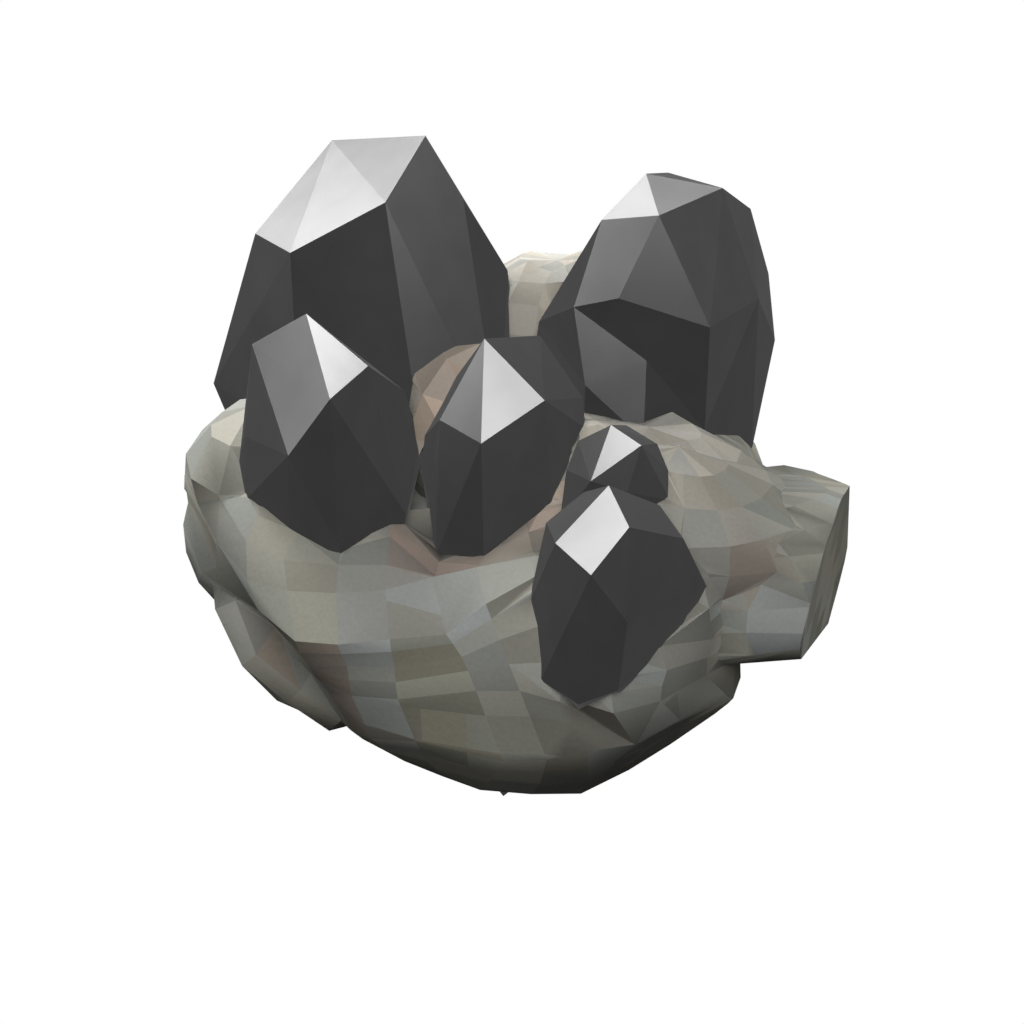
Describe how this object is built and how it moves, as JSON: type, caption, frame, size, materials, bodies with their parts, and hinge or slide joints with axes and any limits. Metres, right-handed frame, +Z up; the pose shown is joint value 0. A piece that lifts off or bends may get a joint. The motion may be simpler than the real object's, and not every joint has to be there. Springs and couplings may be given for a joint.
{
  "type": "tin ore specimen",
  "caption": "Cabinet mineral specimen: sharp flat-faced dark cassiterite crystals standing on a lumpy, dish-shaped piece of pale matrix rock, resting on a small flat below.",
  "frame": {"origin": "middle of the flat rest under the matrix rock, on the surface that the specimen stands on", "axes": "+Z up, -Y the side on which the crystals show best, +X to the right seen from that side"},
  "size_m": [0.1122, 0.099, 0.0985],
  "materials": {
    "matrix_rock": "matt weathered rock in flat patches of grey, olive, beige and brown",
    "cassiterite": "near-black crystal with a bright adamantine sheen on flat faces"
  },
  "bodies": {
    "root": {"matrix_rock": "matrix_rock", "crystal_back_left": "cassiterite", "crystal_front_left": "cassiterite", "crystal_centre": "cassiterite", "crystal_back_right": "cassiterite", "crystal_small_right": "cassiterite", "crystal_front_right": "cassiterite", "crystal_tip_low": "cassiterite"}
  },
  "joints": []
}
